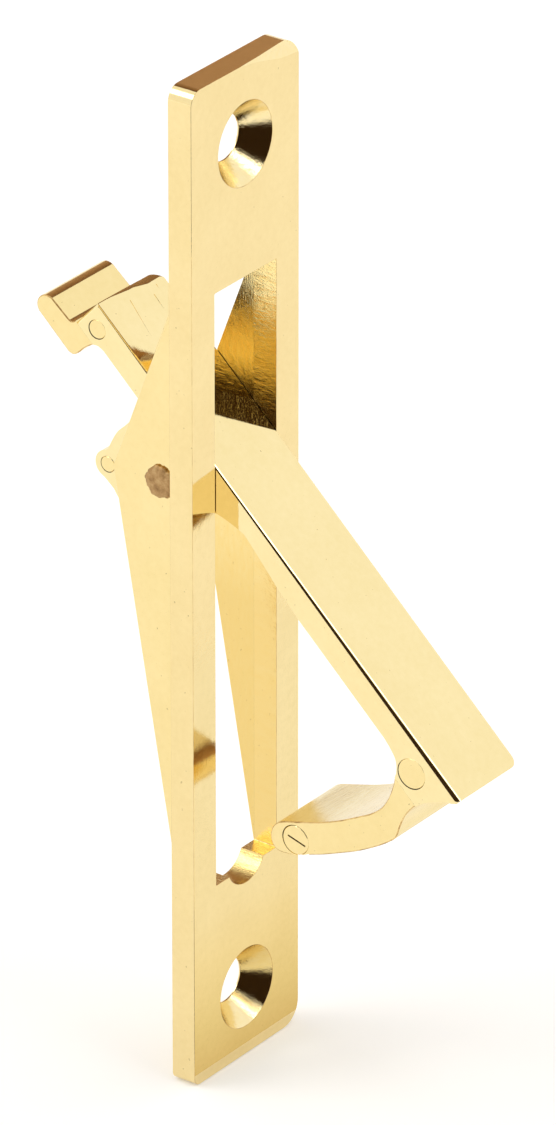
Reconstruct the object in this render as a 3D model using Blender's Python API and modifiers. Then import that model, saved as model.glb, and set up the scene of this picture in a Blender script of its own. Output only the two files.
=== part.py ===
"""Mortise edge pull for a sliding pocket door, in polished brass.

Frame: X across the face plate, -Y out of the door edge, +Z up. The face plate's front is y = 0.
The lever is drawn upright about its pivot (X across, +Y into the door, +Z up the lever) and then swung out.
"""

import math

import bmesh
import bpy
from mathutils import Matrix, Vector

MM = 0.001

# face plate, the 3-7/8 x 5/8 inch size
PLATE_W, PLATE_H, PLATE_T = 15.875, 98.43, 2.5
PLATE_CORNERS = (0.8, 2.2, 2.0, 1.4)  # lower left, lower right, upper right, upper left
PLATE_EDGE = 0.25
SLOT_HALF, SLOT_TOP, SLOT_BOTTOM = 4.59, 28.88, -29.95
NOTCH_R, NOTCH_DEPTH = 2.91, 1.6
SCREW_HOLES_Z = (41.65, -42.35)
SCREW_HOLE_R, COUNTERSINK_R, COUNTERSINK_DEPTH = 2.2, 4.0, 2.35

# cheeks behind the plate and the rivet through them
CHEEK_IN, CHEEK_OUT = 4.59, 6.9
PIVOT_Y, PIVOT_Z = 4.25, 10.3
RIVET_R, RIVET_HEAD_R, RIVET_HEAD_H = 1.4, 1.6, 0.4
FIT = 0.1
RUNNING_FIT = 0.09

# lever, from its pivot: along it upward, and depth into the door
OPEN_ANGLE = 46.5
BAR_HALF, BAR_TOP, BAR_END = 4.42, 16.0, -38.5
BAR_FACE, BAR_BACK = -4.15, -1.4
BAR_NEAR_CORNER, BAR_TOP_CORNER, BAR_END_CORNER = 0.35, 1.0, 0.8
WEB_T, WALL_T = 0.8, 1.0
TONGUE_HALF = BAR_HALF - WALL_T - FIT

TOP_PIN = (-2.3, 14.25, 0.9)
FOOT_PIN = (-1.5, -33.95, 1.45)
TAIL_PIN = (6.35, 4.55, 0.75)
CROSS_SCREW = (14.85, -32.05)
SCREW_HEAD_R, SCREW_SHANK_R, SCREW_SLOT_ANGLE = 1.4, 0.8, 63


def clear_scene():
    for obj in list(bpy.data.objects):
        bpy.data.objects.remove(obj, do_unlink=True)
    for block in list(bpy.data.collections):
        bpy.data.collections.remove(block)


def metal(name, colour, roughness):
    material = bpy.data.materials.new(name)
    material.use_nodes = True
    shader = material.node_tree.nodes["Principled BSDF"]
    shader.inputs["Base Color"].default_value = (*colour, 1.0)
    shader.inputs["Metallic"].default_value = 1.0
    shader.inputs["Roughness"].default_value = roughness
    return material


def arc(centre, radius, start, end, steps=12):
    """Points on an arc, angles in degrees."""
    angles = [math.radians(start + (end - start) * i / steps) for i in range(steps + 1)]
    return [(centre[0] + radius * math.cos(a), centre[1] + radius * math.sin(a)) for a in angles]


def rounded(outline, steps=5):
    """Corners given as (u, v, radius) become arcs."""
    points = []
    count = len(outline)
    for i, (u, v, radius) in enumerate(outline):
        here = Vector((u, v))
        if radius <= 0:
            points.append((u, v))
            continue
        before = (Vector(outline[i - 1][:2]) - here).normalized()
        after = (Vector(outline[(i + 1) % count][:2]) - here).normalized()
        half = before.angle(after) / 2
        centre = here + (before + after).normalized() * radius / math.sin(half)
        first = here + before * radius / math.tan(half) - centre
        last = here + after * radius / math.tan(half) - centre
        turn = first.angle_signed(last)
        points += [tuple(centre + Matrix.Rotation(-turn * k / steps, 2) @ first) for k in range(steps + 1)]
    return points


def new_object(name, mesh, group, material=None):
    obj = bpy.data.objects.new(name, mesh)
    group.objects.link(obj)
    if material:
        mesh.materials.append(material)
    return obj


def prism(name, outline, low, high, group, material=None, axis="X"):
    """A closed outline pushed along an axis: (y, z) outlines along X, (x, z) outlines along Y."""
    bm = bmesh.new()
    rings = []
    for level in (low, high):
        if axis == "X":
            ring = [bm.verts.new((level * MM, u * MM, v * MM)) for u, v in outline]
        else:
            ring = [bm.verts.new((u * MM, level * MM, v * MM)) for u, v in outline]
        rings.append(ring)
    count = len(outline)
    bm.faces.new(rings[0])
    bm.faces.new(list(reversed(rings[1])))
    for i in range(count):
        j = (i + 1) % count
        bm.faces.new((rings[0][i], rings[1][i], rings[1][j], rings[0][j]))
    bmesh.ops.recalc_face_normals(bm, faces=bm.faces)
    mesh = bpy.data.meshes.new(name)
    bm.to_mesh(mesh)
    bm.free()
    return new_object(name, mesh, group, material)


def turned(name, profile, centre, group, material=None, axis="X", sides=32):
    """A solid of revolution along X or Y: profile of (position, radius), centre in the other two axes."""
    bm = bmesh.new()
    rings = []
    for place, radius in profile:
        ring = []
        for k in range(sides):
            angle = 2 * math.pi * (k + 0.5) / sides
            c, s = radius * math.cos(angle), radius * math.sin(angle)
            if axis == "X":
                point = (place, centre[0] + c, centre[1] + s)
            else:
                point = (centre[0] + c, place, centre[1] + s)
            ring.append(bm.verts.new(Vector(point) * MM))
        rings.append(ring)
    for a, b in zip(rings, rings[1:]):
        for k in range(sides):
            bm.faces.new((a[k], a[(k + 1) % sides], b[(k + 1) % sides], b[k]))
    bm.faces.new(rings[0])
    bm.faces.new(rings[-1])
    bmesh.ops.recalc_face_normals(bm, faces=bm.faces)
    mesh = bpy.data.meshes.new(name)
    bm.to_mesh(mesh)
    bm.free()
    return new_object(name, mesh, group, material)


def cut(obj, cutters, operation="DIFFERENCE"):
    for cutter in cutters:
        modifier = obj.modifiers.new(cutter.name, "BOOLEAN")
        modifier.operation = operation
        modifier.solver = "EXACT"
        modifier.object = cutter


def edge_round(obj, width, segments=2):
    modifier = obj.modifiers.new("EdgeRound", "BEVEL")
    modifier.width = width * MM
    modifier.segments = segments
    modifier.limit_method = "ANGLE"
    modifier.angle_limit = math.radians(50)
    modifier.harden_normals = False


def face_plate(parts, cutters, material):
    w, h = PLATE_W / 2, PLATE_H / 2
    corners = ((-w, -h), (w, -h), (w, h), (-w, h))
    outline = rounded([(x, z, radius) for (x, z), radius in zip(corners, PLATE_CORNERS)])
    plate = prism("face_plate", outline, 0, PLATE_T, parts, material, "Y")
    edge_round(plate, PLATE_EDGE)
    s = SLOT_HALF
    slot = prism("cut_slot", [(-s, SLOT_BOTTOM), (s, SLOT_BOTTOM), (s, SLOT_TOP), (-s, SLOT_TOP)],
                 -1, PLATE_T + 1, cutters, axis="Y")
    notch_z = SLOT_BOTTOM + NOTCH_R - NOTCH_DEPTH
    notch = turned("cut_notch", [(-1, NOTCH_R), (PLATE_T + 1, NOTCH_R)], (0, notch_z), cutters, axis="Y", sides=48)
    tools = [slot, notch]
    for k, z in enumerate(SCREW_HOLES_Z):
        flare = 0.5 * (COUNTERSINK_R - SCREW_HOLE_R) / COUNTERSINK_DEPTH
        profile = [(-0.5, COUNTERSINK_R + flare), (COUNTERSINK_DEPTH, SCREW_HOLE_R), (PLATE_T + 1, SCREW_HOLE_R)]
        tools.append(turned(f"cut_countersink_{k}", profile, (0, z), cutters, axis="Y", sides=40))
    cut(plate, tools)
    return plate


def cheek(name, side, parts, cutters, material):
    back = PLATE_T + FIT
    outline = rounded([(back, 29.0, 0), (9.55, 10.4, 1.4), (9.05, 7.6, 2.0), (back, -30.4, 0)], 4)
    low, high = sorted((side * CHEEK_IN, side * CHEEK_OUT))
    plate = prism(name, outline, low, high, parts, material)
    bore = turned(f"cut_{name}", [(low - 1, RIVET_R + FIT), (high + 1, RIVET_R + FIT)],
                  (PIVOT_Y, PIVOT_Z), cutters)
    cut(plate, [bore])
    return plate


def pivot_rivet(parts, material):
    face = CHEEK_OUT + FIT
    top = face + RIVET_HEAD_H
    profile = [(-top, RIVET_HEAD_R - 0.3), (-top + 0.15, RIVET_HEAD_R), (-face, RIVET_HEAD_R), (-face, RIVET_R),
               (face, RIVET_R), (face, RIVET_HEAD_R), (top - 0.15, RIVET_HEAD_R), (top, RIVET_HEAD_R - 0.3)]
    return turned("pivot_rivet", profile, (PIVOT_Y, PIVOT_Z), parts, material)


def lug_outline():
    """Side view of a pivot lug from its lower to its upper end, with the round nub at its back corner."""
    outline = [(-2.12, -8.5), (-2.05, -7.8), (BAR_BACK, -6.1), (-0.7, -4.85), (0.2, -4.25), (1.7, -4.0),
               (4.0, -3.7), (5.9, -3.0), (7.1, -1.9), (7.7, -0.4), (7.75, 1.3), (7.5, 2.6)]
    outline += arc(TAIL_PIN[:2], 1.38, -25, 125, 8)
    outline += [(5.15, 5.6), (4.3, 5.9), (3.0, 6.2), (1.6, 6.15), (0.2, 6.25), (-0.9, 6.7), (BAR_BACK, 7.05)]
    return outline


def lever_bar(parts, cutters, material):
    """A channel with its lugs, cut from one thick side view."""
    h, back = BAR_HALF, BAR_BACK
    side = [(BAR_FACE, BAR_TOP + 1), (BAR_FACE, BAR_END - 1), (-3.6, BAR_END - 1), (-3.6, -38.42), (-2.9, -37.85),
            (-1.2, -36.95), (0.35, -36.4), (0.35, -33.3), (-0.1, -33.0), (-0.65, -32.5), (-1.05, -31.85),
            (-1.28, -30.9), (back, -30.0), (back, -17.0), (-1.6, -13.5), (-2.0, -10.0)]
    side += lug_outline() + [(back, 12.4), (-1.2, 13.1), (-0.85, 13.5), (-0.85, BAR_TOP + 1)]
    bar = prism("lever_bar", side, -h - 1, h + 1, parts, material)
    near = BAR_NEAR_CORNER
    trim = prism("cut_bar_corners", rounded([(-h, BAR_END, near), (h, BAR_END, BAR_END_CORNER),
                                             (h, BAR_TOP, BAR_TOP_CORNER), (-h, BAR_TOP, near)]),
                 -6, 12, cutters, axis="Y")
    inner = h - WALL_T
    hollow = prism("cut_channel", [(BAR_FACE + WEB_T, -45), (13, -45), (13, 25), (BAR_FACE + WEB_T, 25)],
                   -inner, inner, cutters)
    bores = [turned("cut_bar_pivot", [(-9, RIVET_R + RUNNING_FIT), (9, RIVET_R + RUNNING_FIT)], (0, 0), cutters)]
    for name, (depth, along, radius) in (("top", TOP_PIN), ("foot", FOOT_PIN), ("tail", TAIL_PIN)):
        hole = radius + FIT / 2
        bores.append(turned(f"cut_bar_{name}", [(-9, hole), (9, hole)], (depth, along), cutters))
    cut(bar, [trim], "INTERSECT")
    cut(bar, [hollow] + bores)
    return bar


def top_hook(parts, cutters, material):
    """The thumb lip: a round-ended leg that stands up behind the face plate."""
    lip = [(-0.75, 13.55), (0.2, 13.75), (1.2, 13.8), (1.85, 14.0), (2.12, 14.5), (2.12, 18.75)]
    lip += arc((1.02, 18.8), 1.1, 0, 180, 10)[1:]
    lip += [(-0.2, 16.7), (-0.35, 16.35), (-0.75, 16.15)]
    hook = prism("top_hook", lip, -BAR_HALF, BAR_HALF, parts, material)
    tongue = prism("add_top_tongue", [(-3.25, 12.6), (-0.5, 13.9), (-0.5, 16.1), (-3.25, BAR_TOP)],
                   -TONGUE_HALF, TONGUE_HALF, cutters)
    hole = TOP_PIN[2] + FIT / 2
    bore = turned("cut_top_hook", [(-9, hole), (9, hole)], TOP_PIN[:2], cutters)
    cut(hook, [tongue], "UNION")
    cut(hook, [bore])
    return hook


def finger_hook(parts, cutters, material):
    """The finger grip: a curved blade with a narrow neck and a round tip."""
    blade = [(0.45, -33.45), (1.1, -33.72), (2.3, -34.26), (3.35, -34.54), (4.25, -34.62), (5.5, -34.4),
             (6.72, -33.99), (9.05, -33.15), (11.2, -32.15), (13.2, -31.0), (14.9, -30.0), (15.7, -29.8),
             (16.4, -29.9), (17.05, -30.35), (17.42, -30.9), (17.48, -31.5), (17.15, -32.1), (16.1, -32.97),
             (13.5, -34.45), (11.38, -35.45), (9.18, -36.4), (6.81, -37.15), (5.56, -37.42), (4.88, -37.5),
             (4.29, -37.38), (3.59, -37.04), (2.71, -36.68), (1.88, -36.45), (0.85, -36.36), (0.45, -36.38)]
    hook = prism("finger_hook", blade, -BAR_HALF, BAR_HALF, parts, material)
    tongue = prism("add_foot_tongue", [(-3.25, -32.2), (0.9, -33.6), (0.9, -36.3), (-1.2, -36.9), (-3.25, -37.8)],
                   -TONGUE_HALF, TONGUE_HALF, cutters)
    hole = FOOT_PIN[2] + FIT / 2
    bore = turned("cut_finger_foot", [(-9, hole), (9, hole)], FOOT_PIN[:2], cutters)
    shank, head = SCREW_SHANK_R + FIT, SCREW_HEAD_R + FIT
    face = -BAR_HALF
    seat = turned("cut_screw_seat", [(-6, head), (face + 0.4, head), (face + 1.1, shank), (3.3, shank)],
                  CROSS_SCREW, cutters)
    cut(hook, [tongue], "UNION")
    cut(hook, [bore, seat])
    return hook


def pin(name, place, parts, material):
    depth, along, radius = place
    end = BAR_HALF - 0.02
    profile = [(-end, radius - 0.12), (-end + 0.12, radius), (end - 0.12, radius), (end, radius - 0.12)]
    return turned(name, profile, (depth, along), parts, material, sides=28)


def cross_screw(parts, cutters, material):
    face = -BAR_HALF
    profile = [(face + 0.1, SCREW_HEAD_R), (face + 0.35, SCREW_HEAD_R), (face + 0.95, SCREW_SHANK_R),
               (3.1, SCREW_SHANK_R)]
    screw = turned("cross_screw", profile, CROSS_SCREW, parts, material)
    y, z = CROSS_SCREW
    slot = prism("cut_screw_slot", [(y - 2, z - 0.13), (y + 2, z - 0.13), (y + 2, z + 0.13), (y - 2, z + 0.13)],
                 face - 1, face + 0.5, cutters)
    turn = Matrix.Rotation(math.radians(SCREW_SLOT_ANGLE), 4, "X")
    slot.data.transform(Matrix.Translation(Vector((0, y, z)) * MM) @ turn
                        @ Matrix.Translation(Vector((0, -y, -z)) * MM))
    cut(screw, [slot])
    return screw


def swing_out(objects):
    """Puts the lever's pieces on the pivot, opened by OPEN_ANGLE."""
    for obj in objects:
        obj.location = (0, PIVOT_Y * MM, PIVOT_Z * MM)
        obj.rotation_euler = (math.radians(-OPEN_ANGLE), 0, 0)


def main():
    clear_scene()
    scene = bpy.context.scene
    parts = bpy.data.collections.new("pocket_door_edge_pull")
    cutters = bpy.data.collections.new("cutters")
    for group in (parts, cutters):
        scene.collection.children.link(group)
    plated = metal("PlatedBrass", (0.86, 0.66, 0.34), 0.12)
    cheek_metal = metal("CheekBrass", (0.84, 0.64, 0.33), 0.2)
    lever_metal = metal("LeverBrass", (0.88, 0.68, 0.36), 0.1)
    hook_metal = metal("HookBrass", (0.86, 0.67, 0.35), 0.15)
    pin_metal = metal("PinBrass", (0.82, 0.62, 0.31), 0.22)
    rivet_metal = metal("RivetBareMetal", (0.42, 0.33, 0.24), 0.45)
    screw_metal = metal("ScrewBrass", (0.80, 0.61, 0.32), 0.25)

    face_plate(parts, cutters, plated)
    cheek("left_cheek", -1, parts, cutters, cheek_metal)
    cheek("right_cheek", 1, parts, cutters, cheek_metal)
    pivot_rivet(parts, rivet_metal)

    lever = [lever_bar(parts, cutters, lever_metal), top_hook(parts, cutters, hook_metal),
             finger_hook(parts, cutters, hook_metal), cross_screw(parts, cutters, screw_metal),
             pin("top_hook_pin", TOP_PIN, parts, pin_metal), pin("finger_hook_pin", FOOT_PIN, parts, pin_metal),
             pin("tail_pin", TAIL_PIN, parts, pin_metal)]
    helpers = [obj for obj in cutters.objects if obj.name.startswith(
        ("cut_channel", "add_", "cut_bar", "cut_top_hook", "cut_finger", "cut_screw"))]
    swing_out(lever + helpers)
    for obj in cutters.objects:
        obj.hide_render = True
        obj.display_type = "WIRE"


main()
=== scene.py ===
"""Mortise edge pull for a sliding pocket door: mirror-polished, brass-plated, with its lever swung out."""

import math

import bmesh
import bpy
from mathutils import Matrix, Vector


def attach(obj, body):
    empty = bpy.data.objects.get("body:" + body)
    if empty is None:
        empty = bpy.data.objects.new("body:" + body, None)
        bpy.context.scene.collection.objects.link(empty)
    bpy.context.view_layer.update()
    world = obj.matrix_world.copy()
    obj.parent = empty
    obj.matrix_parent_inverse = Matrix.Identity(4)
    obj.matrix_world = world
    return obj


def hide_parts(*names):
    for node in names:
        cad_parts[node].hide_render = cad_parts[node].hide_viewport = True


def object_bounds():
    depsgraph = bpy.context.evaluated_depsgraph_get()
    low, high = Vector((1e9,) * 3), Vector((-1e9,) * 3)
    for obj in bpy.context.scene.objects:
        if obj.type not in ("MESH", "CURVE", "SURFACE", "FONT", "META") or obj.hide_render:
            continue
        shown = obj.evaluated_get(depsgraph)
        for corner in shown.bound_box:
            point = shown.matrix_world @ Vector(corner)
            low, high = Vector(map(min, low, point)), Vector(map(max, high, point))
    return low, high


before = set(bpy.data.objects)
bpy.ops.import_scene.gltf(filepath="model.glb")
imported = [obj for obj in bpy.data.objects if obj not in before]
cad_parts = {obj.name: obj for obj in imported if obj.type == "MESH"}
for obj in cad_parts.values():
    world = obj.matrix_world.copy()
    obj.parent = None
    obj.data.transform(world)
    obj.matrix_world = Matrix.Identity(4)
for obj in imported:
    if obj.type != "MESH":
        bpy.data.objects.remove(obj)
CAD_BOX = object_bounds()

# Sizes in millimetres. The plate is drawn in place: x across, y into the door from the plate's front, z up.
MM = 0.001
PLATE_HALF_WIDTH = CAD_BOX[1][0] / MM
PLATE_HALF_HEIGHT = CAD_BOX[1][2] / MM
PLATE_THICK = 2.5
SLOT_HALF, SLOT_TOP, SLOT_BOTTOM = 4.59, 28.88, -29.95
NOTCH_RADIUS, NOTCH_DEPTH = 2.91, 1.6
SCREW_HOLES = (41.65, -42.35)
SINK_PROFILE = [(-0.5, 4.38), (2.35, 2.2), (PLATE_THICK + 1, 2.2)]
CHEEK_OUTSIDE = 6.9
CHEEK_BORE, LEVER_BORE = 1.44, 1.48

# The lever is drawn upright, as (depth, along) from the rivet, and then turned to its open pose.
PIVOT = (4.25, 10.3)
OPEN_ANGLE = 46.5
BAR_HALF = 4.52
BAR_TOP, BAR_END, BAR_FACE = 16.0, -38.5, -4.15
BAR_WALL = 1.0
TONGUE_HALF = 3.4
BAR_PIN_GAP, HOOK_PIN_GAP = 0.045, 0.04
TOP_PIN = (-2.3, 14.25, 0.9)
FOOT_PIN = (-1.5, -33.95, 1.45)
TAIL_PIN = (6.35, 4.55, 0.75)
CROSS_SCREW = (14.85, -32.05)
SCREW_SLOT_ANGLE = 63

# The camera as the object sees it: its direction in degrees, then its distance and its shift right and up.
CAMERA_AZIMUTH, CAMERA_ELEVATION = -53.81, 26.596
CAMERA_DISTANCE, CAMERA_SHIFT = 940.39, (2.8506, 0.6713)
CAMERA_LENS = 337.81

scene = bpy.context.scene
cutters = bpy.data.collections.new("cutters")
scene.collection.children.link(cutters)


# ---------------------------------------------------------------- shapes

def arc(centre, radius, start, end, steps=20):
    """Points along an arc, from one angle in degrees to the other."""
    angles = [math.radians(start + (end - start) * i / steps) for i in range(steps + 1)]
    return [(centre[0] + radius * math.cos(a), centre[1] + radius * math.sin(a)) for a in angles]


def rounded(outline, steps=10):
    """Corners given as (u, v, radius) become arcs."""
    points = []
    for i, (u, v, radius) in enumerate(outline):
        here = Vector((u, v))
        if radius <= 0:
            points.append((u, v))
            continue
        before = (Vector(outline[i - 1][:2]) - here).normalized()
        after = (Vector(outline[(i + 1) % len(outline)][:2]) - here).normalized()
        half = before.angle(after) / 2
        centre = here + (before + after).normalized() * radius / math.sin(half)
        first = here + before * radius / math.tan(half) - centre
        last = here + after * radius / math.tan(half) - centre
        turn = first.angle_signed(last)
        for k in range(steps + 1):
            points.append(tuple(centre + Matrix.Rotation(-turn * k / steps, 2) @ first))
    return points


def curve_through(points, steps=5):
    """An open smooth line through the points, ends kept."""
    pts = [Vector(p) for p in points]
    pts = [2 * pts[0] - pts[1]] + pts + [2 * pts[-1] - pts[-2]]
    result = []
    for i in range(1, len(pts) - 2):
        p0, p1, p2, p3 = pts[i - 1:i + 3]
        for s in range(steps):
            t = s / steps
            result.append(tuple(0.5 * (2 * p1 + (p2 - p0) * t + (2 * p0 - 5 * p1 + 4 * p2 - p3) * t**2
                                       + (3 * p1 - p0 - 3 * p2 + p3) * t**3)))
    return result + [tuple(pts[-2])]


def link(name, bm, group=None):
    """Makes an object of the mesh. With a group it is a cutter, which is never shown."""
    bmesh.ops.recalc_face_normals(bm, faces=bm.faces)
    mesh = bpy.data.meshes.new(name)
    bm.to_mesh(mesh)
    bm.free()
    obj = bpy.data.objects.new(name, mesh)
    (group or scene.collection).objects.link(obj)
    if group:
        obj.hide_render = obj.hide_viewport = True
    return obj


def skin(name, rings, group=None):
    """A closed solid over rings of points in millimetres, with a flat face at each end."""
    bm = bmesh.new()
    loops = [[bm.verts.new(Vector(point) * MM) for point in ring] for ring in rings]
    for a, b in zip(loops, loops[1:]):
        for k in range(len(a)):
            after = (k + 1) % len(a)
            bm.faces.new((a[k], a[after], b[after], b[k]))
    bm.faces.new(loops[0])
    bm.faces.new(loops[-1])
    return link(name, bm, group)


def placed(level, u, v, axis):
    """The point (u, v) of a cross-section that stands at this level along the axis."""
    return (level, u, v) if axis == "X" else (u, level, v)


def prism(name, outline, low, high, group=None, axis="X"):
    """An outline drawn across the axis, extruded along it."""
    return skin(name, [[placed(level, u, v, axis) for u, v in outline] for level in (low, high)], group)


def turned(name, profile, centre, group=None, axis="X", sides=64):
    """A round solid whose profile is (place along the axis, radius)."""
    angles = [2 * math.pi * (k + 0.5) / sides for k in range(sides)]
    rings = []
    for level, radius in profile:
        rings.append([placed(level, centre[0] + radius * math.cos(a), centre[1] + radius * math.sin(a), axis)
                      for a in angles])
    return skin(name, rings, group)


def combine(obj, tools, operation="DIFFERENCE"):
    """Applies the Booleans straight away, so that later bevels see the final shape."""
    for tool in tools:
        modifier = obj.modifiers.new("b", "BOOLEAN")
        modifier.operation = operation
        modifier.solver = "EXACT"
        modifier.object = tool
    graph = bpy.context.evaluated_depsgraph_get()
    mesh = bpy.data.meshes.new_from_object(obj.evaluated_get(graph))
    obj.modifiers.clear()
    old, obj.data = obj.data, mesh
    mesh.name = obj.name
    bpy.data.meshes.remove(old)


def soften(obj, width, segments=4, angle=28, crisp=None, clamp=True):
    """Rounds the sharp edges and shades the rest smooth, as polishing does.

    Edges that crisp() picks by their middle, in millimetres, stay sharp.
    """
    same_point, same_plane = 0.002 * MM, math.radians(0.4)
    bm = bmesh.new()
    bm.from_mesh(obj.data)
    bmesh.ops.remove_doubles(bm, verts=bm.verts, dist=same_point)
    bmesh.ops.dissolve_limit(bm, angle_limit=same_plane, verts=bm.verts, edges=bm.edges)
    weight = bm.edges.layers.float.new("bevel_weight_edge")
    for edge in bm.edges:
        if len(edge.link_faces) != 2 or edge.calc_face_angle(0) < math.radians(angle):
            continue
        middle = (edge.verts[0].co + edge.verts[1].co) / (2 * MM)
        if crisp and crisp(middle):
            edge.smooth = False
        else:
            edge[weight] = 1.0
    bm.to_mesh(obj.data)
    bm.free()
    bevel = obj.modifiers.new("edge", "BEVEL")
    bevel.width = width * MM
    bevel.segments = segments
    bevel.limit_method = "WEIGHT"
    bevel.use_clamp_overlap = clamp
    bevel.harden_normals = True
    for polygon in obj.data.polygons:
        polygon.use_smooth = True
    weighted = obj.modifiers.new("normals", "WEIGHTED_NORMAL")
    weighted.keep_sharp = True
    weighted.weight = 80
    return obj


def near_pins(*pins):
    """Picks the rims of cross holes, given as (depth, along, radius)."""
    rim = 0.12
    return lambda m: any(math.hypot(m.y - d, m.z - a) < r + rim for d, a, r in pins)


def on_lever(obj):
    """Puts a piece drawn upright about the pivot in its swung-out place."""
    obj.matrix_world = (Matrix.Translation(Vector((0, *PIVOT)) * MM)
                        @ Matrix.Rotation(math.radians(-OPEN_ANGLE), 4, "X"))
    return obj


def finish_piece(obj, material, body, node, edge_wear_and_reflection=None, inner=None, inside=None):
    """Sets the materials: the main one, one for the edges that paints both their wear and their dark
    reflected lines, and one for the faces that inside() picks.
    """
    obj.data.materials.clear()
    obj.data.materials.append(material)
    # The bevels get the edge material: worn plating plus painted dark edge reflections.
    if edge_wear_and_reflection:
        obj.data.materials.append(edge_wear_and_reflection)
        obj.modifiers["edge"].material = 1
    if inner:
        obj.data.materials.append(inner)
    for polygon in obj.data.polygons:
        polygon.material_index = 0
        if inner and inside(polygon.center / MM, polygon.normal):
            polygon.material_index = len(obj.data.materials) - 1
    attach(obj, body)
    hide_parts(node)


# ---------------------------------------------------------------- materials

class Nodes:
    """Small helper that adds shader nodes and links their sockets."""

    def __init__(self, name):
        self.material = bpy.data.materials.new(name)
        self.material.use_nodes = True
        self.tree = self.material.node_tree
        self.shader = self.tree.nodes["Principled BSDF"]
        self.where = self.add("ShaderNodeTexCoord").outputs["Object"]

    def add(self, kind, **settings):
        node = self.tree.nodes.new(kind)
        for key, value in settings.items():
            setattr(node, key, value)
        return node

    def join(self, source, target):
        self.tree.links.new(source, target)

    def stretched(self, scale, turn=(0, 0, 0)):
        mapping = self.add("ShaderNodeMapping")
        mapping.inputs["Scale"].default_value = scale
        mapping.inputs["Rotation"].default_value = turn
        self.join(self.where, mapping.inputs["Vector"])
        return mapping.outputs["Vector"]

    def split(self):
        """The object's own x, y and z."""
        node = self.add("ShaderNodeSeparateXYZ")
        self.join(self.where, node.inputs["Vector"])
        return node.outputs

    def noise(self, scale, detail=3.0, roughness=0.55, vector=None):
        node = self.add("ShaderNodeTexNoise")
        node.inputs["Scale"].default_value = scale
        node.inputs["Detail"].default_value = detail
        node.inputs["Roughness"].default_value = roughness
        self.join(vector or self.where, node.inputs["Vector"])
        return node.outputs["Fac"]

    def ramp(self, source, stops):
        node = self.add("ShaderNodeValToRGB")
        while len(node.color_ramp.elements) < len(stops):
            node.color_ramp.elements.new(0.5)
        for element, (place, colour) in zip(node.color_ramp.elements, stops):
            element.position = place
            element.color = (*colour, 1.0)
        self.join(source, node.inputs["Fac"])
        return node.outputs["Color"]

    def remap(self, source, low, high, from_low=0.0, from_high=1.0):
        node = self.add("ShaderNodeMapRange")
        node.inputs["From Min"].default_value = from_low
        node.inputs["From Max"].default_value = from_high
        node.inputs["To Min"].default_value = low
        node.inputs["To Max"].default_value = high
        self.join(source, node.inputs["Value"])
        return node.outputs["Result"]

    def maths(self, operation, a, b):
        node = self.add("ShaderNodeMath", operation=operation)
        for index, value in enumerate((a, b)):
            if isinstance(value, (int, float)):
                node.inputs[index].default_value = value
            else:
                self.join(value, node.inputs[index])
        return node.outputs["Value"]

    def mix(self, factor, a, b):
        """Mixes two colours, each a socket or a tuple, on the node's colour sockets: 6 and 7 in, 2 out."""
        node = self.add("ShaderNodeMix", data_type="RGBA")
        self.join(factor, node.inputs[0])
        for index, value in ((6, a), (7, b)):
            if isinstance(value, tuple):
                node.inputs[index].default_value = (*value, 1.0)
            else:
                self.join(value, node.inputs[index])
        return node.outputs[2]

    def bump(self, height, strength, distance, under=None):
        node = self.add("ShaderNodeBump")
        node.inputs["Strength"].default_value = strength
        node.inputs["Distance"].default_value = distance
        self.join(height, node.inputs["Height"])
        if under is not None:
            self.join(under, node.inputs["Normal"])
        return node.outputs["Normal"]


def plated(name, colour, deep, rough=(0.035, 0.09), grain=0.3, hairs=0.1):
    """Polished brass plate: slow colour drift, orange-peel grain, hairline wipe marks and a few pin-holes."""
    n = Nodes(name)
    n.shader.inputs["Metallic"].default_value = 1.0
    drift = n.noise(120, 5, 0.6)
    peel = n.noise(1500, 3, 0.6)
    mottle = n.maths("ADD", n.maths("MULTIPLY", drift, 0.6), n.maths("MULTIPLY", peel, 0.4))
    tint = n.mix(n.remap(mottle, 0.0, 1.0, 0.36, 0.66), colour, deep)
    fine = n.noise(1.0, 4, 0.7, n.stretched((6500, 900, 320), (0.25, 0.1, 0.4)))
    roughness = n.maths("ADD", n.remap(peel, rough[0], rough[1], 0.35, 0.7),
                        n.remap(fine, 0.0, 0.03, 0.45, 0.8))
    normal = n.bump(peel, grain, 0.00001)
    normal = n.bump(fine, hairs, 0.00002, normal)
    spots = n.remap(n.noise(2600, 2, 0.5), 0.0, 0.55, 0.735, 0.775)
    tint = n.mix(spots, tint, (0.30, 0.17, 0.05))
    n.join(tint, n.shader.inputs["Base Color"])
    n.join(roughness, n.shader.inputs["Roughness"])
    n.join(normal, n.shader.inputs["Normal"])
    return n.material


def brushed(name, colour, deep, rough, stretch, turn=(0, 0, 0), strength=0.6, painted_shade_below=None):
    """Machined or broached faces under the plating: streaks along one direction, with pits between them, and,
    where given, painted shade that deepens the colour towards the bottom.
    """
    n = Nodes(name)
    n.shader.inputs["Metallic"].default_value = 1.0
    streak = n.noise(1.0, 5, 0.7, n.stretched(stretch, turn))
    pits = n.noise(2200, 4, 0.7)
    tint = n.mix(n.remap(streak, 0.0, 1.0, 0.3, 0.7), deep, colour)
    # Painted shade: the colour runs to a deeper gold towards the bottom of the piece.
    if painted_shade_below:
        tint = n.mix(n.remap(n.split()["Z"], 0.8, 0.0, -0.006, 0.008), tint, painted_shade_below)
    tint = n.mix(n.remap(pits, 0.0, 0.7, 0.66, 0.76), tint, (0.42, 0.20, 0.04))
    n.join(tint, n.shader.inputs["Base Color"])
    n.join(n.remap(pits, rough[0], rough[1], 0.35, 0.7), n.shader.inputs["Roughness"])
    normal = n.bump(streak, strength, 0.00012)
    n.join(n.bump(pits, strength * 0.5, 0.00005, normal), n.shader.inputs["Normal"])
    return n.material


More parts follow.
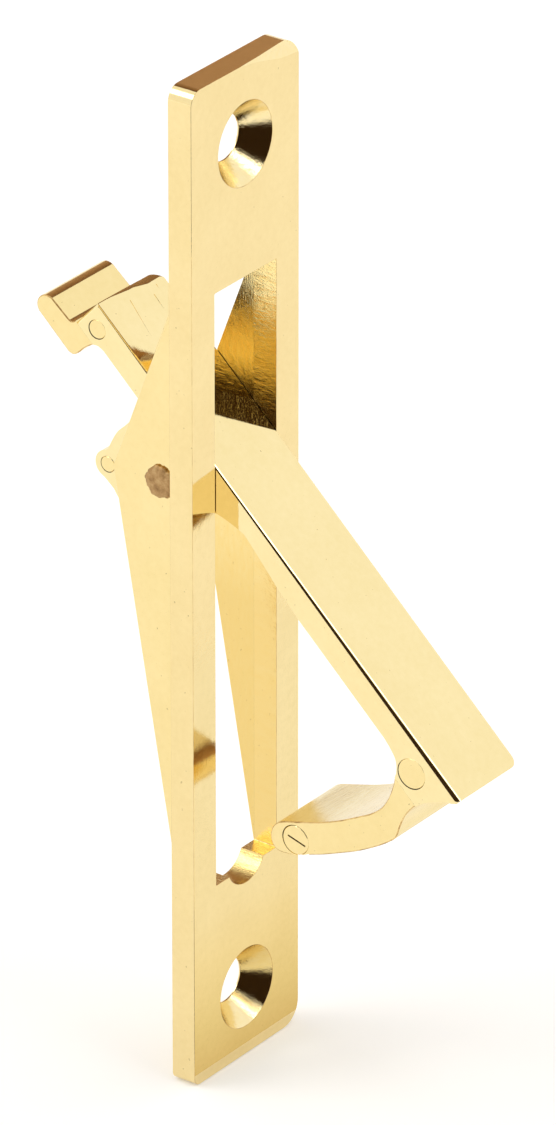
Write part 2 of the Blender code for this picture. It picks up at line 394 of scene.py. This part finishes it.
def worn_edge_painted_reflection():
    """Edges where the plating is thin, and painted reflection: gold broken up by short brown dashes, which
    stand for worn plating and also paint the dark lines that rounded mirror edges reflect.
    """
    n = Nodes("WornEdgePaintedReflection")
    n.shader.inputs["Metallic"].default_value = 1.0
    dashes = n.noise(1.0, 4, 0.75, n.stretched((1400, 1400, 420)))
    tint = n.ramp(dashes, [(0.40, (0.80, 0.60, 0.27)), (0.52, (0.62, 0.40, 0.15)),
                           (0.66, (0.30, 0.15, 0.05))])
    n.join(tint, n.shader.inputs["Base Color"])
    n.join(n.remap(dashes, 0.16, 0.4), n.shader.inputs["Roughness"])
    n.join(n.bump(dashes, 0.4, 0.00004), n.shader.inputs["Normal"])
    return n.material


def bare_rivet():
    """The peened end of the rivet, where the plating is gone."""
    n = Nodes("BareRivet")
    n.shader.inputs["Metallic"].default_value = 1.0
    blotch = n.noise(1400, 6, 0.7)
    tint = n.ramp(blotch, [(0.3, (0.24, 0.13, 0.05)), (0.5, (0.46, 0.28, 0.12)), (0.7, (0.60, 0.42, 0.20))])
    n.join(tint, n.shader.inputs["Base Color"])
    n.join(n.remap(blotch, 0.42, 0.62), n.shader.inputs["Roughness"])
    n.join(n.bump(n.noise(2600, 5, 0.7), 0.5, 0.0001), n.shader.inputs["Normal"])
    return n.material


GOLD = (0.90, 0.735, 0.37)
DEEP = (0.86, 0.69, 0.325)
PALE = (0.98, 0.82, 0.42)
RICH = (0.95, 0.72, 0.28)
PLATE = plated("PlateBrass", (0.88, 0.715, 0.37), (0.835, 0.665, 0.325))
CHEEK = plated("CheekBrass", GOLD, DEEP, rough=(0.06, 0.12), hairs=0.16)
LEVER = plated("LeverBrass", (0.92, 0.77, 0.42), (0.88, 0.725, 0.37), rough=(0.02, 0.05), grain=0.2,
               hairs=0.05)
HOOK = plated("HookBrass", GOLD, DEEP, rough=(0.05, 0.11), hairs=0.14)
PIN = plated("PinBrass", GOLD, DEEP, rough=(0.07, 0.14), hairs=0.2)
SCREW = plated("ScrewBrass", GOLD, DEEP, rough=(0.07, 0.13), hairs=0.2)
# Edge material: worn plating and painted dark reflections along the bevels.
WORN_EDGE_REFLECTION = worn_edge_painted_reflection()
SINK = brushed("SinkBrass", (0.90, 0.76, 0.45), GOLD, (0.04, 0.10), (1800, 500, 1800), strength=0.26)
# The slot walls and the inside faces get painted shade, deeper gold towards the bottom.
SLOT = brushed("SlotBrass", PALE, RICH, (0.06, 0.15), (3600, 520, 1500), (0.55, 0, 0), 0.5,
               painted_shade_below=(0.80, 0.58, 0.21))
INSIDE = brushed("InsideBrass", PALE, RICH, (0.05, 0.13), (900, 2600, 700), (0.9, 0, 0), 0.25,
                 painted_shade_below=(0.78, 0.56, 0.19))
BLADE = brushed("BladeBrass", (0.84, 0.71, 0.42), (0.76, 0.60, 0.29), (0.08, 0.18), (500, 2600, 2600),
                strength=0.25)
RIVET = bare_rivet()


# ---------------------------------------------------------------- the pieces

def slot_cutters():
    """The slot, with a half-round thumb notch in its lower edge."""
    h, corner = SLOT_HALF, 0.12
    outline = rounded([(-h, SLOT_BOTTOM, corner), (h, SLOT_BOTTOM, corner), (h, SLOT_TOP, corner),
                       (-h, SLOT_TOP, corner)], 3)
    notch_centre = (0, SLOT_BOTTOM + NOTCH_RADIUS - NOTCH_DEPTH)
    return [prism("t_slot", outline, -1, PLATE_THICK + 1, cutters, axis="Y"),
            turned("t_notch", [(-1, NOTCH_RADIUS), (PLATE_THICK + 1, NOTCH_RADIUS)], notch_centre, cutters,
                   axis="Y", sides=96)]


def rolled_corner():
    """The wedge that polishing has taken off the top front edge, widest at the right corner."""
    top = PLATE_HALF_HEIGHT
    rings = []
    for x, drop, depth in ((-0.8, 0.0, 0.0), (2.0, 0.45, 0.1), (5.3, 1.3, 0.32), (8.6, 1.6, 0.45)):
        rings.append([(x, -1.0, top - drop), (x, -0.001, top - drop), (x, depth, top + 0.001),
                      (x, depth, top + 1), (x, -1.0, top + 1)])
    return skin("t_rolled", rings, cutters)


def face_plate():
    """The flat plate with its slot, its two countersinks and the wedge polished off its top front edge."""
    w, h = PLATE_HALF_WIDTH, PLATE_HALF_HEIGHT
    plate = prism("face_plate_polished", rounded([(-w, -h, 0.8), (w, -h, 2.2), (w, h, 2.0), (-w, h, 1.4)]),
                  0, PLATE_THICK, axis="Y")
    sinks = [turned("t_sink", SINK_PROFILE, (0, z), cutters, axis="Y", sides=96) for z in SCREW_HOLES]
    combine(plate, slot_cutters() + [rolled_corner()] + sinks)

    def by_slot(c):
        return abs(c.x) < SLOT_HALF + 0.11 and abs(c.z) < 33

    def crisp(m):
        return (by_slot(m) and m.y > 2.3) or (m.z > h - 1.9 and m.y < 0.6 and m.x > -1)
    soften(plate, 0.13, 3, crisp=crisp)
    finish_piece(plate, PLATE, "plate", "face_plate", WORN_EDGE_REFLECTION, SLOT,
                 lambda c, n: by_slot(c) and 0.05 < c.y < 2.45)
    plate.data.materials.append(SINK)
    for polygon in plate.data.polygons:
        c, n = polygon.center / MM, polygon.normal
        in_sink = abs(c.x) < 4.2 and 35 < abs(c.z) < 47 and 0.05 < c.y < 2.48
        on_wedge = c.z > h - 2 and 0.1 < n.z < 0.8 and n.y < -0.5
        if in_sink or on_wedge:
            polygon.material_index = len(plate.data.materials) - 1


def cheek(name, node, side):
    """The triangular bracket behind the plate on one side of the slot; side is -1 or 1."""
    back = PLATE_THICK + 0.005
    outline = rounded([(back, 29.0, 0), (9.55, 10.4, 1.4), (9.05, 7.6, 2.0), (back, -30.4, 0)])
    low, high = sorted((side * SLOT_HALF, side * CHEEK_OUTSIDE))
    bracket = prism(name, outline, low, high)
    combine(bracket, [turned("t_bore", [(low - 1, CHEEK_BORE), (high + 1, CHEEK_BORE)], PIVOT, cutters)])
    bore = near_pins((*PIVOT, CHEEK_BORE))
    soften(bracket, 0.1, 3, crisp=lambda m: bore(m) or (m.y < 2.6 and abs(m.x) < SLOT_HALF + 0.11))
    finish_piece(bracket, CHEEK, "plate", node, inner=INSIDE,
                 inside=lambda c, n: n.x * side < -0.9)


def pivot_rivet():
    """Shank with a formed head on the right and a ragged, hammered end on the left."""
    profile = [(-7.3, 0.9), (-7.26, 1.3), (-7.14, 1.56), (-7.0, 1.6), (-6.93, 1.45), (-6.9, 1.4), (6.92, 1.4),
               (6.95, 1.6), (7.2, 1.55), (7.34, 1.3), (7.4, 0.8)]
    rivet = turned("pivot_rivet_peened", profile, PIVOT, sides=72)
    centre = Vector((0, *PIVOT)) * MM
    hammered_from, rim = -6.91 * MM, 1.6 * MM
    for vertex in rivet.data.vertices:
        if vertex.co.x < hammered_from:
            arm = Vector((0, vertex.co.y, vertex.co.z)) - centre
            a = math.atan2(arm.z, arm.y)
            ragged = 0.035 * math.sin(5 * a + 1) + 0.03 * math.sin(11 * a) + 0.02 * math.sin(23 * a) - 0.03
            arm *= 1 + ragged * min(1.0, arm.length / rim)
            vertex.co.y = centre.y + arm.y
            vertex.co.z = centre.z + arm.z
    for polygon in rivet.data.polygons:
        polygon.use_smooth = True
    finish_piece(rivet, RIVET, "plate", "pivot_rivet")


def lug_outline():
    """The back of the bar around the rivet, with the round nub that holds the tail pin."""
    outline = curve_through([(-2.0, -10.0), (-2.12, -8.5), (-2.05, -7.8), (-1.4, -6.1), (-0.7, -4.85),
                             (0.2, -4.25), (1.7, -4.0), (4.0, -3.7), (5.9, -3.0), (7.1, -1.9), (7.7, -0.4),
                             (7.75, 1.3), (7.5, 2.6)])
    outline += arc(TAIL_PIN[:2], 1.38, -25, 125)
    outline += curve_through([(5.15, 5.6), (4.3, 5.9), (3.0, 6.2), (1.6, 6.15), (0.2, 6.25), (-0.9, 6.7),
                              (-1.4, 7.05)])
    return outline


def edge_chamfer():
    """The flat along the face's left edge, widening downwards, with a narrow burnished strip beside it."""
    strip_width, strip_depth = 0.15, 0.06
    rings = []
    for along, size in ((17.0, 0.02), (4.0, 0.03), (-20.0, 0.1), (-39.5, 0.26)):
        rings.append([(-BAR_HALF + size + strip_width, BAR_FACE, along),
                      (-BAR_HALF + size, BAR_FACE + strip_depth, along),
                      (-BAR_HALF, BAR_FACE + strip_depth + size, along),
                      (-BAR_HALF - 1, BAR_FACE - 1, along)])
    return skin("t_chamfer", rings, cutters)


def rolled_end():
    """The wedge rolled off the face's upper end, widest at the right."""
    rings = []
    for x, size in ((-5.6, 0.12), (-2.5, 0.2), (0.5, 0.42), (2.6, 0.8), (5.6, 1.0)):
        rings.append([(x, BAR_FACE, BAR_TOP - size), (x, BAR_FACE + 0.55 * size, BAR_TOP),
                      (x, BAR_FACE - 1, BAR_TOP + 1), (x, BAR_FACE - 1, BAR_TOP - size)])
    return skin("t_rolled_end", rings, cutters)


def scratch(start, end):
    """A hairline groove in the lever's face, wider where it starts."""
    start, end = Vector(start), Vector(end)
    along = (end - start).normalized()
    side = Vector((-along.y, along.x)) * 0.035
    return prism("t_scratch", [tuple(start + side), tuple(end), tuple(start - side)],
                 BAR_FACE - 0.1, BAR_FACE + 0.06, cutters, axis="Y")


def bar_outline():
    """The bar from the side, with its lugs, open past both ends for trimming."""
    back = -1.4
    side = [(BAR_FACE, 17), (BAR_FACE, -39.5), (-3.6, -39.5), (-3.6, -38.42), (-2.9, -37.85)]
    side += curve_through([(-2.2, -37.45), (-1.2, -36.95), (-0.4, -36.6), (0.4, -36.4)])
    side += curve_through([(0.4, -33.25), (-0.1, -33.0), (-0.65, -32.5), (-1.05, -31.85), (-1.28, -30.9),
                           (back, -30.0)])
    side += curve_through([(back, -17.0), (-1.6, -13.5)]) + lug_outline()
    return side + curve_through([(back, 12.4), (-1.2, 13.1), (-0.8, 13.5)]) + [(-0.8, 17)]


def bar_cutters(inner):
    """The channel behind the face, the chamfer, the rolled end, the cross holes and the scratches."""
    tools = [prism("t_channel", [(-3.35, -45), (13, -45), (13, 25), (-3.35, 25)], -inner, inner, cutters),
             edge_chamfer(), rolled_end(),
             turned("t_pivot", [(-9, LEVER_BORE), (9, LEVER_BORE)], (0, 0), cutters)]
    for depth, along, radius in (TOP_PIN, FOOT_PIN, TAIL_PIN):
        hole = radius + BAR_PIN_GAP
        tools.append(turned("t_hole", [(-9, hole), (9, hole)], (depth, along), cutters))
    scratches = (((-0.8, 14.8), (-1.33, 11.0)), ((2.16, 14.2), (2.1, 12.4)), ((3.14, 14.9), (3.15, 14.4)))
    return tools + [scratch(start, end) for start, end in scratches]


def lever_bar():
    """A bar folded as a channel: a flat polished face and two walls that end in the lugs on the rivet."""
    h = BAR_HALF
    inner = h - BAR_WALL
    bar = prism("lever_bar_polished", bar_outline(), -h - 1, h + 1)
    trim = prism("t_corners", rounded([(-h, BAR_END, 0.35), (h, BAR_END, 0.9), (h, BAR_TOP, 1.1),
                                       (-h, BAR_TOP, 0.35)]), -6, 12, cutters, axis="Y")
    combine(bar, [trim], "INTERSECT")
    combine(bar, bar_cutters(inner))
    pins = near_pins(TOP_PIN, FOOT_PIN, TAIL_PIN, (0, 0, LEVER_BORE))

    def crisp(m):
        seam = (m.y > 0.3 and m.z < -30) or (m.y > -0.85 and m.z > 13.4)
        scored = m.y < BAR_FACE + 0.08 and abs(m.x) < 3.8 and 10 < m.z < 15
        flat_edge = m.x < -h + 0.5 and m.y < BAR_FACE + 0.45
        rolled = m.z > BAR_TOP - 1.1 and m.y < BAR_FACE + 0.65
        return pins(m) or seam or scored or flat_edge or rolled
    on_lever(soften(bar, 0.14, 4, 35, crisp))
    finish_piece(bar, LEVER, "lever", "lever_bar", inner=INSIDE,
                 inside=lambda c, n: abs(c.x) < inner + 0.02 and c.y > BAR_FACE + 0.5)


def top_hook():
    """The thumb lip: an L-shaped leg with a round end, on a tongue pinned inside the bar."""
    lip = curve_through([(-0.795, 13.5), (0.2, 13.75), (1.2, 13.8), (1.85, 14.0), (2.12, 14.5)])
    lip += [(2.12, 18.75)] + arc((1.02, 18.8), 1.1, 0, 180, 24)[1:]
    lip += [(-0.2, 16.7)] + curve_through([(-0.25, 16.5), (-0.38, 16.3), (-0.795, 16.12)])
    hook = prism("thumb_lip", lip, -BAR_HALF, BAR_HALF)
    tongue = prism("t_tongue", [(-3.25, 12.6), (-0.5, 13.9), (-0.5, 16.0), (-3.25, 15.9)],
                   -TONGUE_HALF, TONGUE_HALF, cutters)
    combine(hook, [tongue], "UNION")
    hole = TOP_PIN[2] + HOOK_PIN_GAP
    combine(hook, [turned("t_hole", [(-9, hole), (9, hole)], TOP_PIN[:2], cutters)])
    on_lever(soften(hook, 0.1, 3, 35, lambda m: m.y < -0.7, clamp=False))
    finish_piece(hook, HOOK, "lever", "top_hook", edge_wear_and_reflection=WORN_EDGE_REFLECTION)


def finger_hook():
    """The curved finger grip, on a tongue pinned inside the bar's lower end, with a screw seat in its tip."""
    blade = curve_through([(0.405, -33.25), (1.1, -33.7), (2.3, -34.26), (3.35, -34.54), (4.25, -34.62),
                           (5.5, -34.4), (6.72, -33.99), (9.05, -33.15), (11.2, -32.15), (13.2, -31.0),
                           (14.9, -30.0), (15.7, -29.8), (16.4, -29.9), (17.05, -30.35), (17.42, -30.9),
                           (17.48, -31.5), (17.15, -32.1), (16.1, -32.97), (13.5, -34.45), (11.38, -35.45),
                           (9.18, -36.4), (6.81, -37.15), (5.56, -37.42), (4.88, -37.5), (4.29, -37.38),
                           (3.59, -37.04), (2.71, -36.68), (1.88, -36.45), (0.85, -36.36), (0.405, -36.4)])
    hook = prism("finger_grip", blade, -BAR_HALF, BAR_HALF)
    tongue = prism("t_tongue", [(-3.25, -32.2), (0.9, -33.6), (0.9, -36.3), (-1.2, -36.9), (-3.25, -37.8)],
                   -TONGUE_HALF, TONGUE_HALF, cutters)
    combine(hook, [tongue], "UNION")
    face = -BAR_HALF
    seat = turned("t_seat", [(-6, 1.46), (face + 0.4, 1.46), (face + 1.1, 0.9), (3.3, 0.9)], CROSS_SCREW,
                  cutters)
    hole = FOOT_PIN[2] + HOOK_PIN_GAP
    combine(hook, [turned("t_hole", [(-9, hole), (9, hole)], FOOT_PIN[:2], cutters), seat])
    seat_rim = near_pins((*CROSS_SCREW, 1.58))
    on_lever(soften(hook, 0.1, 3, 35, lambda m: m.y < 0.5 or seat_rim(m), clamp=False))
    finish_piece(hook, HOOK, "lever", "finger_hook", edge_wear_and_reflection=WORN_EDGE_REFLECTION, inner=BLADE,
                 inside=lambda c, n: n.z > 0.5 and 0.6 < c.y < 16)


def pin(name, node, place, shift):
    """A staked pin, filed flush; shift sets it to one side of its hole, which leaves a crescent gap."""
    depth, along, radius = place
    end, break_edge = BAR_HALF - 0.012, 0.03
    profile = [(-end, radius - break_edge), (-end + break_edge, radius), (end - break_edge, radius),
               (end, radius - break_edge)]
    piece = turned(name, profile, (depth + shift[0], along + shift[1]))
    finish_piece(on_lever(piece), PIN, "lever", node)


def cross_screw():
    """The countersunk screw across the grip's tip, a hair off the middle of its seat."""
    face = -BAR_HALF
    profile = [(face + 0.03, 1.36), (face + 0.07, 1.41), (face + 0.35, 1.41), (face + 0.95, 0.8), (3.1, 0.8)]
    y, z = CROSS_SCREW[0] + 0.035, CROSS_SCREW[1] - 0.025
    screw = turned("cross_screw_slotted", profile, (y, z))
    near, far, half = y - 1.1, y + 0.9, 0.08
    slot = prism("t_slot", [(near, z - half), (far, z - half), (far, z + half), (near, z + half)],
                 face - 1, face + 0.5, cutters)
    middle = Matrix.Translation(Vector((0, y, z)) * MM)
    slot.data.transform(middle @ Matrix.Rotation(math.radians(SCREW_SLOT_ANGLE), 4, "X") @ middle.inverted())
    combine(screw, [slot])
    finish_piece(on_lever(soften(screw, 0.05, 2, 35)), SCREW, "lever", "cross_screw")


face_plate()
cheek("left_cheek_polished", "left_cheek", -1)
cheek("right_cheek_polished", "right_cheek", 1)
pivot_rivet()
lever_bar()
top_hook()
finger_hook()
pin("top_pin_end", "top_hook_pin", TOP_PIN, (-0.04, 0.0))
pin("foot_pin_end", "finger_hook_pin", FOOT_PIN, (-0.035, 0.01))
pin("tail_pin_end", "tail_pin", TAIL_PIN, (0.01, 0.01))
cross_screw()


# ---------------------------------------------------------------- studio

def direction(azimuth, elevation):
    """Unit vector away from the object; azimuth 0 is straight in front of the plate."""
    a, e = math.radians(azimuth), math.radians(elevation)
    return Vector((math.sin(a) * math.cos(e), -math.cos(a) * math.cos(e), math.sin(e)))


def camera():
    """A long lens along the photo's viewing direction."""
    back = direction(CAMERA_AZIMUTH, CAMERA_ELEVATION)
    right = Vector((0, 0, 1)).cross(back).normalized()
    up = back.cross(right)
    data = bpy.data.cameras.new("Camera")
    data.lens = CAMERA_LENS
    data.clip_start = 0.05
    obj = bpy.data.objects.new("Camera", data)
    scene.collection.objects.link(obj)
    place = (right * CAMERA_SHIFT[0] + up * CAMERA_SHIFT[1] + back * CAMERA_DISTANCE) * MM
    obj.matrix_world = Matrix.Translation(place) @ Matrix((right, up, back)).transposed().to_4x4()
    scene.camera = obj


def matt(name):
    """The start of a surface that has no shine."""
    n = Nodes(name)
    n.shader.inputs["Roughness"].default_value = 0.9
    n.shader.inputs["Specular IOR Level"].default_value = 0.0
    return n


def flat(name, colour, emission=0.0):
    """A matt surface, nearly even in colour, which may glow."""
    n = matt(name)
    soft = n.noise(3.0, 3)
    tone = n.mix(n.remap(soft, 0.0, 1.0), tuple(c * 0.97 for c in colour), colour)
    n.join(tone, n.shader.inputs["Base Color"])
    if emission:
        n.shader.inputs["Emission Color"].default_value = (*colour, 1.0)
        n.shader.inputs["Emission Strength"].default_value = emission
    return n.material


def panel(name, corners, material):
    """A single flat face, in metres, that the camera doesn't see."""
    bm = bmesh.new()
    bm.faces.new([bm.verts.new(corner) for corner in corners])
    obj = link(name, bm)
    obj.data.materials.append(material)
    obj.visible_camera = False
    return obj


def card(name, azimuth, elevation, distance, width, height, material):
    """A panel that faces the object, and shows in reflections and as light or shade."""
    w, h = width / 2, height / 2
    obj = panel(name, [(-w, -h, 0), (w, -h, 0), (w, h, 0), (-w, h, 0)], material)
    towards = direction(azimuth, elevation)
    facing = towards.to_track_quat("Z", "Y").to_matrix().to_4x4()
    obj.matrix_world = Matrix.Translation(towards * distance) @ facing


def mirror_only(name, corners, material):
    """A panel that only mirror reflections show: a painted reflection, with no shadow and no diffuse light.
    """
    obj = panel(name, corners, material)
    obj.visible_diffuse = obj.visible_shadow = False


def graded(name, stops, span):
    """A card's material whose colour runs through the stops, from its lower edge to its upper edge."""
    n = matt(name)
    height = n.remap(n.split()["Y"], 0.0, 1.0, -span / 2, span / 2)
    n.join(n.ramp(height, stops), n.shader.inputs["Base Color"])
    return n.material


def painted_floor_reflection(reach, glow):
    """A painted floor reflection just in front of the plate: a glowing panel that only mirror reflections
    show, with painted shade, warm and darker, close in, and white further out.
    """
    n = Nodes("PaintedFloorReflection")
    away = n.remap(n.split()["Y"], 1.0, 0.0, -reach, 0.0)
    ramp = n.ramp(away, [(0.0, (0.74, 0.62, 0.385)), (0.1, (0.86, 0.78, 0.555)),
                         (0.24, (0.965, 0.905, 0.755)), (0.34, (0.99, 0.96, 0.89)),
                         (0.6, (1.0, 0.985, 0.95)), (1.0, (1.0, 0.99, 0.965))])
    n.shader.inputs["Base Color"].default_value = (0, 0, 0, 1)
    n.shader.inputs["Specular IOR Level"].default_value = 0.0
    n.join(ramp, n.shader.inputs["Emission Color"])
    n.shader.inputs["Emission Strength"].default_value = glow
    return n.material


def sky(brightness):
    """Even, nearly white light from all round."""
    world = bpy.data.worlds.new("World")
    scene.world = world
    world.use_nodes = True
    shade = world.node_tree.nodes["Background"]
    shade.inputs["Color"].default_value = (1.0, 0.995, 0.985, 1.0)
    shade.inputs["Strength"].default_value = brightness


def floor_plane():
    """A pale floor just under the plate's lower end."""
    bm = bmesh.new()
    bmesh.ops.create_grid(bm, x_segments=2, y_segments=2, size=4.0)
    floor = link("Floor", bm)
    floor.location = (0, 0, CAD_BOX[0][2] - 0.0001)
    floor.data.materials.append(flat("FloorWhite", (0.90, 0.90, 0.89), 0.26))


def studio():
    """White surroundings, with the few dark, brown and bright panels that give the polish its reflections,
    and panels that only mirror reflections show, which paint dark bands in the countersinks and a floor
    reflection with painted shade.
    """
    brightness = 1.08
    sky(brightness)
    scene.view_settings.view_transform = "Standard"
    floor_plane()

    dark = flat("DarkFlag", (0.04, 0.023, 0.012))
    card("flag_behind_camera", -51, 24, 1.3, 1.7, 1.15, dark)
    # Painted reflections: dark panels in front of the plate that only mirror reflections show, to put black
    # bands in the countersinks.
    for name, bottom, top in (("painted_reflection_upper_sink", 0.033, 0.052), ("painted_reflection_lower_sink", -0.0478, -0.032)):
        left, right = (-0.0098, -0.0002), (-0.001, -0.0112)
        mirror_only(name, [(*left, bottom), (*right, bottom), (*right, top), (*left, top)], dark)

    # Painted floor reflection, with painted shade close to the plate.
    low, reach = CAD_BOX[0][2] + 0.001, 0.05
    mirror_only("painted_floor_reflection", [(-0.012, -reach, low), (0.12, -reach, low), (0.12, -0.0001, low),
                               (-0.012, -0.0001, low)], painted_floor_reflection(reach, brightness))

    browns = [(0.0, (0.45, 0.28, 0.18)), (0.31, (0.42, 0.26, 0.163)), (0.64, (0.28, 0.16, 0.09)),
              (1.0, (0.15, 0.07, 0.035))]
    card("flag_far_side", 125, 36, 1.6, 1.85, 1.4, graded("BrownFlag", browns, 1.4))
    lamp = flat("SoftBox", (0.3, 0.3, 0.3), 11.0)
    card("softbox_front", 5, 53, 1.3, 0.62, 0.24, lamp)
    card("softbox_left", -140, 46, 1.4, 0.7, 0.55, lamp)


camera()
studio()
